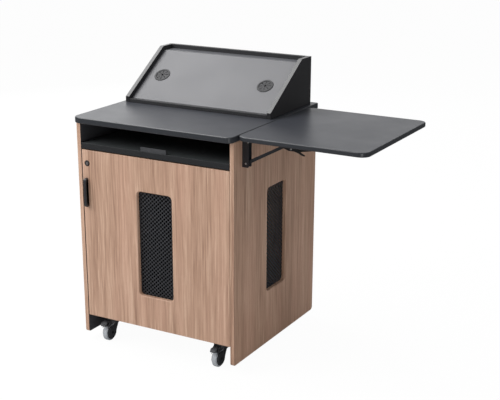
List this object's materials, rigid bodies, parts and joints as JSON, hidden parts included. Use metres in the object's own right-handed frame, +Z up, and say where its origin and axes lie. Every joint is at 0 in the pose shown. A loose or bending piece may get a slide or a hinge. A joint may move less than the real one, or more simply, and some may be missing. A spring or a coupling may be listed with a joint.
{
  "type": "lectern stand",
  "caption": "Mobile presentation lectern: wood-grain cabinet on swivel casters with keyboard tray, vented locking door, sloped equipment hutch and fold-down side shelf.",
  "frame": {"origin": "centre of the overall footprint, on the floor", "axes": "+X towards the raised side shelf (to the right seen from the front), -Y the front where the door and keyboard tray are, +Z up"},
  "size_m": [1.32, 0.771, 1.22],
  "materials": {
    "wood_laminate": "wood-grain melamine on particle board, vertical grain, satin",
    "top_laminate": "dark grey high-pressure laminate on board, satin, black edge band",
    "black_laminate": "black melamine on board, satin",
    "grey_laminate": "light grey laminate on board, satin",
    "black_steel": "black powder coat, fine texture",
    "grey_steel": "dark grey powder coat, satin",
    "bright_steel": "bright zinc plate",
    "black_plastic": "moulded nylon, matte",
    "caster_tread": "light grey thermoplastic rubber tread on a dark hub"
  },
  "bodies": {
    "cabinet": {"left_side_panel": "wood_laminate", "right_side_panel": "wood_laminate", "bottom_panel": "black_laminate", "middle_panel": "black_laminate", "rear_rail": "wood_laminate", "worktop": "top_laminate", "right_grille": "black_steel", "rear_panel": "wood_laminate", "rear_grille": "black_steel", "rear_lock_body": "black_steel", "front_lock_strike": "grey_steel", "hinge_arm_lower": "bright_steel", "hinge_arm_upper": "bright_steel", "tray_slide_outer_left": "grey_steel", "tray_slide_outer_right": "grey_steel", "hutch_left_side": "black_laminate", "hutch_right_side": "black_laminate", "hutch_back": "black_laminate", "hutch_face": "grey_laminate", "hutch_ledge": "top_laminate", "hutch_rail": "black_laminate", "grommet_left": "black_plastic", "grommet_right": "black_plastic", "bracket_leg_front": "grey_steel", "bracket_leg_rear": "grey_steel", "caster_plate_front_left": "bright_steel", "caster_plate_front_right": "bright_steel", "caster_plate_rear_left": "bright_steel", "caster_plate_rear_right": "bright_steel"},
    "door": {"front_door": "wood_laminate", "front_grille": "black_steel", "front_door_pull": "grey_steel", "front_lock_body": "black_steel", "hinge_cup_lower": "bright_steel", "hinge_cup_upper": "bright_steel"},
    "front_lock": {"front_lock_plug": "grey_steel"},
    "rear_lock": {"rear_lock_plug": "grey_steel"},
    "tray": {"keyboard_tray": "black_laminate", "tray_pull": "black_plastic", "tray_slide_inner_left": "bright_steel", "tray_slide_inner_right": "bright_steel"},
    "side_shelf": {"shelf_panel": "top_laminate", "bracket_arm_front": "black_steel", "bracket_arm_rear": "black_steel"},
    "strut_front": {"bracket_strut_front": "grey_steel"},
    "strut_rear": {"bracket_strut_rear": "grey_steel"},
    "lever_front": {"bracket_lever_front": "black_steel"},
    "lever_rear": {"bracket_lever_rear": "black_steel"},
    "swivel_front_left": {"caster_fork_front_left": "black_plastic"},
    "wheel_front_left": {"caster_wheel_front_left": "caster_tread"},
    "swivel_front_right": {"caster_fork_front_right": "black_plastic"},
    "wheel_front_right": {"caster_wheel_front_right": "caster_tread"},
    "swivel_rear_left": {"caster_fork_rear_left": "black_plastic"},
    "wheel_rear_left": {"caster_wheel_rear_left": "caster_tread"},
    "swivel_rear_right": {"caster_fork_rear_right": "black_plastic"},
    "wheel_rear_right": {"caster_wheel_rear_right": "caster_tread"},
    "pedal_front_left": {"brake_pedal_front_left": "black_plastic"},
    "pedal_front_right": {"brake_pedal_front_right": "black_plastic"}
  },
  "joints": [
    {"name": "door_hinge", "type": "hinge", "parent": "cabinet", "child": "door", "pos_m": [0.085, -0.3565, 0.4945], "axis": [0, 0, 1], "range_deg": [0, 110]},
    {"name": "front_lock_turn", "type": "hinge", "parent": "door", "child": "front_lock", "pos_m": [-0.609, -0.3565, 0.812], "axis": [0, 1, 0], "range_deg": [0, 90]},
    {"name": "rear_lock_turn", "type": "hinge", "parent": "cabinet", "child": "rear_lock", "pos_m": [-0.276, 0.3735, 0.852], "axis": [0, 1, 0], "range_deg": [0, 90]},
    {"name": "tray_slide", "type": "slide", "parent": "cabinet", "child": "tray", "axis": [0, -1, 0], "range_m": [0, 0.28]},
    {"name": "shelf_fold", "type": "hinge", "parent": "cabinet", "child": "side_shelf", "pos_m": [0.131, -0.0365, 0.978], "axis": [0, 1, 0], "range_deg": [0, 90]},
    {"name": "strut_front_pivot", "type": "hinge", "parent": "cabinet", "child": "strut_front", "pos_m": [0.121, -0.2795, 0.891], "axis": [0, 1, 0], "range_deg": [0, 114]},
    {"name": "strut_rear_pivot", "type": "hinge", "parent": "cabinet", "child": "strut_rear", "pos_m": [0.121, 0.2065, 0.891], "axis": [0, 1, 0], "range_deg": [0, 114]},
    {"name": "lever_front_pull", "type": "hinge", "parent": "side_shelf", "child": "lever_front", "pos_m": [0.319, -0.2795, 0.974], "axis": [0, -1, 0], "range_deg": [0, 12]},
    {"name": "lever_rear_pull", "type": "hinge", "parent": "side_shelf", "child": "lever_rear", "pos_m": [0.319, 0.2065, 0.974], "axis": [0, -1, 0], "range_deg": [0, 12]},
    {"name": "swivel_front_left", "type": "hinge", "parent": "cabinet", "child": "swivel_front_left", "pos_m": [-0.557, -0.2905, 0.1], "axis": [0, 0, 1], "continuous": true},
    {"name": "roll_front_left", "type": "hinge", "parent": "swivel_front_left", "child": "wheel_front_left", "pos_m": [-0.557, -0.3165, 0.038], "axis": [1, 0, 0], "continuous": true},
    {"name": "swivel_front_right", "type": "hinge", "parent": "cabinet", "child": "swivel_front_right", "pos_m": [0.005, -0.2905, 0.1], "axis": [0, 0, 1], "continuous": true},
    {"name": "roll_front_right", "type": "hinge", "parent": "swivel_front_right", "child": "wheel_front_right", "pos_m": [0.005, -0.3165, 0.038], "axis": [1, 0, 0], "continuous": true},
    {"name": "swivel_rear_left", "type": "hinge", "parent": "cabinet", "child": "swivel_rear_left", "pos_m": [-0.557, 0.3075, 0.1], "axis": [0, 0, 1], "continuous": true},
    {"name": "roll_rear_left", "type": "hinge", "parent": "swivel_rear_left", "child": "wheel_rear_left", "pos_m": [-0.557, 0.2815, 0.038], "axis": [1, 0, 0], "continuous": true},
    {"name": "swivel_rear_right", "type": "hinge", "parent": "cabinet", "child": "swivel_rear_right", "pos_m": [0.005, 0.3075, 0.1], "axis": [0, 0, 1], "continuous": true},
    {"name": "roll_rear_right", "type": "hinge", "parent": "swivel_rear_right", "child": "wheel_rear_right", "pos_m": [0.005, 0.2815, 0.038], "axis": [1, 0, 0], "continuous": true},
    {"name": "brake_front_left", "type": "hinge", "parent": "swivel_front_left", "child": "pedal_front_left", "pos_m": [-0.557, -0.3285, 0.09], "axis": [1, 0, 0], "range_deg": [0, 12]},
    {"name": "brake_front_right", "type": "hinge", "parent": "swivel_front_right", "child": "pedal_front_right", "pos_m": [0.005, -0.3285, 0.09], "axis": [1, 0, 0], "range_deg": [0, 12]}
  ],
  "couplings": [
    {"joint": "strut_front_pivot", "follows": "shelf_fold", "ratio": 1.2621},
    {"joint": "strut_rear_pivot", "follows": "shelf_fold", "ratio": 1.2621}
  ]
}
